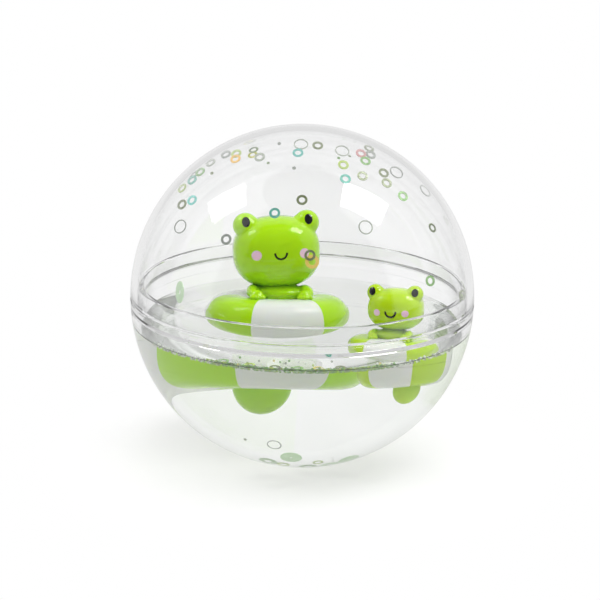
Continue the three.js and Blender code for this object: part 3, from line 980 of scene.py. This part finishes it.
def makeSunkRings():
    bm = newFilm()
    for size, pixel, tint in sunkRings:
        clingRing(bm, size, wallPoint(pixel, True), tint)
    finishFilm("sunk_film_rings", bm, "water")


def makeLooseRings():
    bm = newFilm()
    for front, rings in ((True, frontRings), (False, backRings)):
        for size, pixel, tint in rings:
            clingRing(bm, size, wallPoint(pixel, front), tint)
    finishFilm("loose_dome_rings", bm, "dome_films")


# a drift of small film bits on the water by the front wall
drift = {
    "count": 160,
    "bearing": (-124, -60),
    "wallGap": (0.3, 1.7),
    "climb": 0.7,
    "climbReach": 0.5,
    "tilt": 0.8,
    "sizes": ["tiny", "tiny", "bit"],
    "tints": ["green", "green", "green", "lime", "lime", "olive", "pale"],
    "seed": 7,
}
# bits that stuck to the wall: a few above the waterline, a dense row along it that is partly film bits and
# partly a painted green reflection of the water's edge, and white specks at its ends that are painted
# highlights of the waterline
wallSpecks = {
    "wallGap": 0.2,
    "crowding": 2,
    "tipUp": 0.6,
    "seed": 11,
    "rows": [
        {"count": 60, "bearing": (-122, -62), "height": (0.2, 3.4),
         "tints": ["pale", "pale", "lime", "green", "white", "yellow"]},
        # partly film bits, partly painted reflection: green specks that draw the water's edge as a green line
        {"count": 340, "bearing": (-121, -57), "height": (0.0, 1.1),
         "tints": ["green", "leaf", "leaf", "lime"]},
        # painted highlights: white specks at both ends of the waterline
        {"count": 90, "bearing": (-150, -118), "height": (0.0, 1.0), "tints": ["white", "white", "pale"]},
        {"count": 90, "bearing": (-60, -28), "height": (0.0, 1.0), "tints": ["white", "white", "pale"]},
    ],
}


def makeDrift():
    picker = random.Random(drift["seed"])
    bm = newFilm()
    wall = math.sqrt(innerRadius ** 2 - waterLevel ** 2)
    for _ in range(drift["count"]):
        angle = math.radians(picker.uniform(*drift["bearing"]))
        gap = picker.uniform(*drift["wallGap"])
        out = wall - gap
        lift = drift["climb"] / (drift["climbReach"] + gap)
        spot = Vector((out * math.cos(angle), out * math.sin(angle), waterLevel + lift))
        lean = Vector((-math.cos(angle), -math.sin(angle), 0)) * drift["tilt"] * picker.random()
        upward = (Vector((0, 0, 1)) + lean).normalized()
        size = picker.choice(drift["sizes"])
        addFilmRing(bm, size, spot, upward, picker.choice(drift["tints"]))
    finishFilm("floating_film_bits", bm, "water")


# specks on the wall along the waterline: film bits, painted reflection and painted highlights
def makeWallSpecks():
    picker = random.Random(wallSpecks["seed"])
    bm = newFilm()
    for row in wallSpecks["rows"]:
        low, high = row["height"]
        for _ in range(row["count"]):
            angle = math.radians(picker.uniform(*row["bearing"]))
            height = waterLevel + low + (high - low) * picker.random() ** wallSpecks["crowding"]
            out = math.sqrt((innerRadius - wallSpecks["wallGap"]) ** 2 - height ** 2)
            spot = Vector((out * math.cos(angle), out * math.sin(angle), height))
            upward = (spot.normalized() + Vector((0, 0, wallSpecks["tipUp"]))).normalized()
            addFilmRing(bm, "speck", spot, upward, picker.choice(row["tints"]))
    finishFilm("wall_film_bits_and_painted_waterline_light", bm, "water")


# stage: pale floor, soft studio light
stage = {
    "floorSize": 8.0,
    "floorCells": 8,
    "floorWhite": (0.97, 0.97, 0.97, 1),
    "floorShade": (0.95, 0.95, 0.95, 1),
    "speckScale": 30,
    "speckShare": 0.3,
    "fadeNear": 0.01,
    "fadeFar": 0.08,
    "shadowLift": 0.5,
    "throughLift": 0.7,
    "tableFront": -0.26,
    "tableFade": 0.2,
    "frontGloss": 0.03,
    "floorGloss": 0.8,
    "backdropAway": 1.6,
    "backdropTall": 4.0,
    "backdropWrap": 236.0,
    "backdropSteps": 40,
    "backdropGloss": 0.77,
    "seamGloss": 0.66,
    "deepGloss": 1.2,
    "backdropThrough": 1.05,
    "worldLight": 0.44,
    "worldGloss": 0.04,
    "wallGloss": 0.15,
    "roomGloss": 0.88,
}
# how often light was mirrored, scattered or crossed a wall: whole counts, so each limit lies between two
turns = {"any": 0.5, "often": 1.5, "inWall": (2.0, 1.1), "deep": 4.5, "lampDeep": 5.5}
lamps = [
    {"name": "softboxRight", "aim": (0.52, 0.02, 0.85), "distance": 0.9, "size": (0.29, 0.38), "watts": 2.6,
     "inGloss": True},
    {"name": "softboxLeft", "aim": (-0.64, 0.12, 0.76), "distance": 0.9, "size": (0.26, 0.32), "watts": 0.95,
     "inGloss": True},
    {"name": "topFill", "aim": (0.1, -0.25, 1.0), "distance": 1.2, "size": (0.8, 0.8), "watts": 7.0,
     "inGloss": False},
]


# pale floor: matt near the ball, so that its shadow shows, and plain white further off
def floorMaterial():
    material, tree = newMaterial("paleFloor")
    coords = addNode(tree, "ShaderNodeTexCoord")
    far = addNode(tree, "ShaderNodeVectorMath", operation="LENGTH")
    feed(tree, far.inputs[0], coords.outputs["Object"])
    fade = addNode(tree, "ShaderNodeMapRange", interpolation_type="SMOOTHSTEP")
    feed(tree, fade.inputs["Value"], far.outputs["Value"])
    fade.inputs["From Min"].default_value = stage["fadeNear"]
    fade.inputs["From Max"].default_value = stage["fadeFar"]
    noise = noiseNode(tree, coords.outputs["Object"], stage["speckScale"])
    speck = mathNode(tree, "MULTIPLY", noise.outputs["Fac"], stage["speckShare"])
    matte = addNode(tree, "ShaderNodeBsdfDiffuse")
    feed(tree, matte.inputs["Color"], mixColour(tree, speck, stage["floorWhite"], stage["floorShade"]))
    white = addNode(tree, "ShaderNodeEmission")
    path = addNode(tree, "ShaderNodeLightPath")
    parts = addNode(tree, "ShaderNodeSeparateXYZ")
    feed(tree, parts.inputs[0], coords.outputs["Object"])
    onTable = addNode(tree, "ShaderNodeMapRange", interpolation_type="SMOOTHSTEP")
    feed(tree, onTable.inputs["Value"], parts.outputs["Y"])
    onTable.inputs["From Min"].default_value = stage["tableFront"]
    onTable.inputs["From Max"].default_value = stage["tableFront"] + stage["tableFade"]
    onTable.inputs["To Min"].default_value = stage["frontGloss"]
    onTable.inputs["To Max"].default_value = stage["floorGloss"]
    once = mathNode(tree, "COMPARE", path.outputs["Glossy Depth"], 1.0, turns["any"])
    shallow = mathNode(tree, "LESS_THAN", path.outputs["Transmission Depth"], turns["deep"])
    mirrored = mathNode(tree, "MULTIPLY", once, shallow)
    dimming = mathNode(tree, "SUBTRACT", onTable.outputs["Result"], 1.0)
    feed(tree, white.inputs["Strength"], mathNode(tree, "MULTIPLY_ADD", mirrored, dimming, 1.0))
    lift = mathNode(tree, "MULTIPLY", path.outputs["Is Transmission Ray"], stage["throughLift"])
    lift = mathNode(tree, "MULTIPLY_ADD", path.outputs["Is Camera Ray"], stage["shadowLift"], lift)
    lift = mathNode(tree, "MULTIPLY_ADD", path.outputs["Is Glossy Ray"], stage["shadowLift"], lift)
    seen = mathNode(tree, "CEIL", lift)
    share = mathNode(tree, "MULTIPLY", seen, mathNode(tree, "MAXIMUM", lift, fade.outputs["Result"]))
    mix = addNode(tree, "ShaderNodeMixShader")
    feed(tree, mix.inputs[0], share)
    tree.links.new(matte.outputs[0], mix.inputs[1])
    tree.links.new(white.outputs[0], mix.inputs[2])
    showSurface(tree, mix)
    return material


# backdrop: white to look at and in reflections, and no brighter than the room as a light
def backdropMaterial():
    material, tree = newMaterial("whiteBackdrop")
    path = addNode(tree, "ShaderNodeLightPath")
    level = pick(tree, path.outputs["Is Transmission Ray"], 1.0, stage["backdropThrough"])
    mirrored = mathNode(tree, "GREATER_THAN", path.outputs["Glossy Depth"], turns["any"])
    level = pick(tree, mirrored, level, stage["backdropGloss"])
    often = mathNode(tree, "GREATER_THAN", path.outputs["Glossy Depth"], turns["often"])
    deep = mathNode(tree, "GREATER_THAN", path.outputs["Transmission Depth"], turns["lampDeep"])
    level = pick(tree, often, level, pick(tree, deep, stage["seamGloss"], stage["deepGloss"]))
    lighting = mathNode(tree, "GREATER_THAN", path.outputs["Diffuse Depth"], turns["any"])
    level = pick(tree, lighting, level, stage["worldLight"])
    glow = addNode(tree, "ShaderNodeEmission")
    feed(tree, glow.inputs["Strength"], level)
    showSurface(tree, glow)
    return material


# a lamp that isn't seen again in the depth of the bowl
def lampGlow(data):
    data.use_nodes = True
    tree = data.node_tree
    tree.nodes.clear()
    path = addNode(tree, "ShaderNodeLightPath")
    glow = addNode(tree, "ShaderNodeEmission")
    feed(tree, glow.inputs["Strength"],
         mathNode(tree, "LESS_THAN", path.outputs["Transmission Depth"], turns["lampDeep"]))
    showSurface(tree, glow, "ShaderNodeOutputLight")


def makeStage():
    ground = bmesh.new()
    cells = stage["floorCells"]
    bmesh.ops.create_grid(ground, x_segments=cells, y_segments=cells, size=stage["floorSize"] / 2)
    newObject("floor", ground, floorMaterial())
    sheet = bmesh.new()
    foot = sheet.verts.new((0, stage["backdropAway"], 0))
    head = sheet.verts.new((0, stage["backdropAway"], stage["backdropTall"]))
    edge = sheet.edges.new((foot, head))
    wrap = math.radians(stage["backdropWrap"])
    bmesh.ops.rotate(sheet, verts=[foot, head], cent=(0, 0, 0), matrix=Matrix.Rotation(-wrap / 2, 3, "Z"))
    bmesh.ops.spin(sheet, geom=[foot, head, edge], cent=(0, 0, 0), axis=(0, 0, 1), angle=wrap,
                   steps=stage["backdropSteps"])
    newObject("backdrop", sheet, backdropMaterial())
    for lamp in lamps:
        data = bpy.data.lights.new(lamp["name"], "AREA")
        data.shape = "RECTANGLE"
        data.size, data.size_y = lamp["size"]
        data.energy = lamp["watts"]
        lampGlow(data)
        light = bpy.data.objects.new(lamp["name"], data)
        addToScene(light)
        light.visible_transmission = lamp["inGloss"]
        light.visible_glossy = lamp["inGloss"]
        aim = Vector(lamp["aim"]).normalized()
        light.location = ballCentre + aim * lamp["distance"]
        light.rotation_euler = aim.to_track_quat("Z", "Y").to_euler()


def makeWorld():
    world = bpy.data.worlds.new("studio")
    world.use_nodes = True
    tree = world.node_tree
    tree.nodes.clear()
    path = addNode(tree, "ShaderNodeLightPath")
    mirrored = mathNode(tree, "GREATER_THAN", path.outputs["Glossy Depth"], turns["any"])
    lighting = mathNode(tree, "GREATER_THAN", path.outputs["Diffuse Depth"], turns["any"])
    inWall = mathNode(tree, "COMPARE", path.outputs["Transmission Depth"], *turns["inWall"])
    often = mathNode(tree, "GREATER_THAN", path.outputs["Glossy Depth"], turns["often"])
    deep = mathNode(tree, "GREATER_THAN", path.outputs["Transmission Depth"], turns["deep"])
    gloss = pick(tree, inWall, stage["worldGloss"], stage["wallGloss"])
    gloss = pick(tree, mathNode(tree, "MAXIMUM", often, deep), gloss, stage["roomGloss"])
    level = pick(tree, mirrored, 1.0, gloss)
    level = pick(tree, lighting, level, stage["worldLight"])
    background = addNode(tree, "ShaderNodeBackground")
    feed(tree, background.inputs["Strength"], level)
    showSurface(tree, background, "ShaderNodeOutputWorld")
    bpy.context.scene.world = world


# light passes many clear walls, so it needs many bounces
bounces = {"max_bounces": 32, "transmission_bounces": 32, "transparent_max_bounces": 32, "glossy_bounces": 16}
bpy.context.scene.view_settings.view_transform = "Standard"
for kind, count in bounces.items():
    setattr(bpy.context.scene.cycles, kind, count)

makeCamera()
makeStage()
makeWorld()
makeShells()
makeWater()
for frog in (bigFrog, smallFrog):
    makeFrog(frog)
replaceFilmNodes()
makeLooseRings()
makeSunkRings()
makeDrift()
makeWallSpecks()
print("pieces built")
